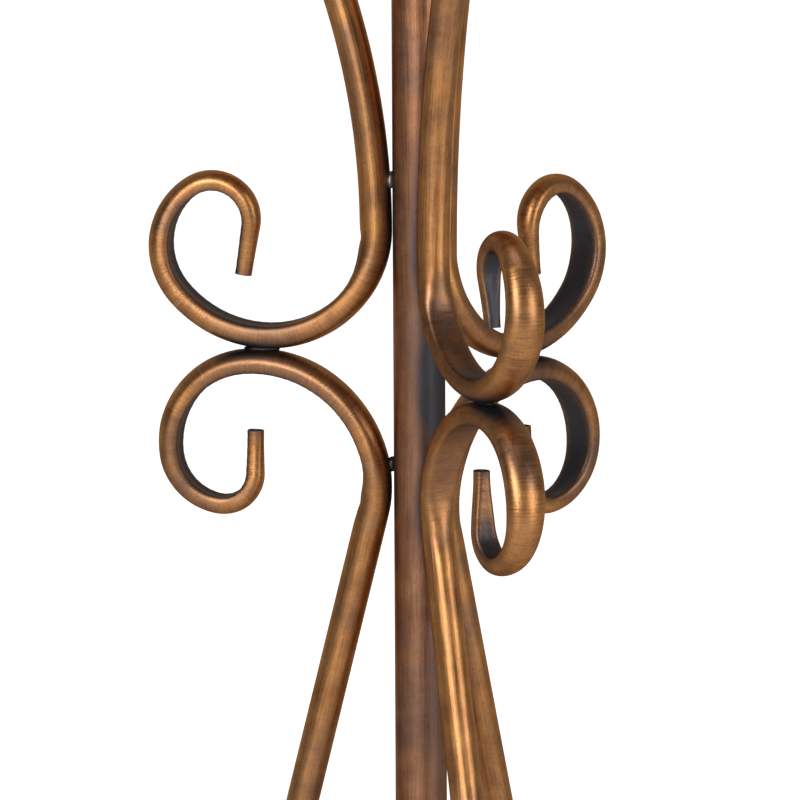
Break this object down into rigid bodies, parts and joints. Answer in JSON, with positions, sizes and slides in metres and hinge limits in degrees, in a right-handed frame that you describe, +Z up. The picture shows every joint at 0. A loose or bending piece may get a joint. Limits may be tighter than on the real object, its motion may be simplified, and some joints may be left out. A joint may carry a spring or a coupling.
{
  "type": "plant pedestal",
  "caption": "Tall stand with a straight column, scroll arms that carry a round rimmed tray, and scroll legs that splay to capped feet.",
  "frame": {"origin": "on the floor, under the column's axis, which is also the middle of the round tray", "axes": "+Z up along the column; the front of the stand faces -Y, and one arm and leg point to -X"},
  "size_m": [0.305, 0.305, 0.866],
  "materials": {
    "column_finish": "antique copper, brushed and lacquered",
    "bent_tube": "antique copper, brushed and lacquered, with dark patina in the folds",
    "rod_and_hoop": "antique copper, brushed and lacquered",
    "tray_sheet": "antique copper, brushed in rings and lacquered",
    "hardware": "dulled",
    "weld_metal": "dark, under the same lacquer",
    "end_cap_plastic": "fine matt",
    "foot_rubber": "matt"
  },
  "bodies": {
    "root": {"upper_arm_left": "bent_tube", "lower_leg_left": "bent_tube", "foot_cap_left": "foot_rubber", "spreader_rod_left": "rod_and_hoop", "upper_arm_front": "bent_tube", "lower_leg_front": "bent_tube", "foot_cap_front": "foot_rubber", "spreader_rod_front": "rod_and_hoop", "upper_arm_rear": "bent_tube", "lower_leg_rear": "bent_tube", "foot_cap_rear": "foot_rubber", "spreader_rod_rear": "rod_and_hoop", "column_tube": "column_finish", "column_top_plug": "rod_and_hoop", "column_end_cap": "end_cap_plastic", "tray_hoop": "rod_and_hoop", "tray": "tray_sheet", "tray_screw": "hardware", "tray_washer": "hardware", "arm_tack_welds": "weld_metal", "leg_tack_welds": "weld_metal", "curl_welds": "weld_metal", "hoop_welds": "weld_metal", "spreader_welds": "weld_metal"}
  },
  "joints": []
}
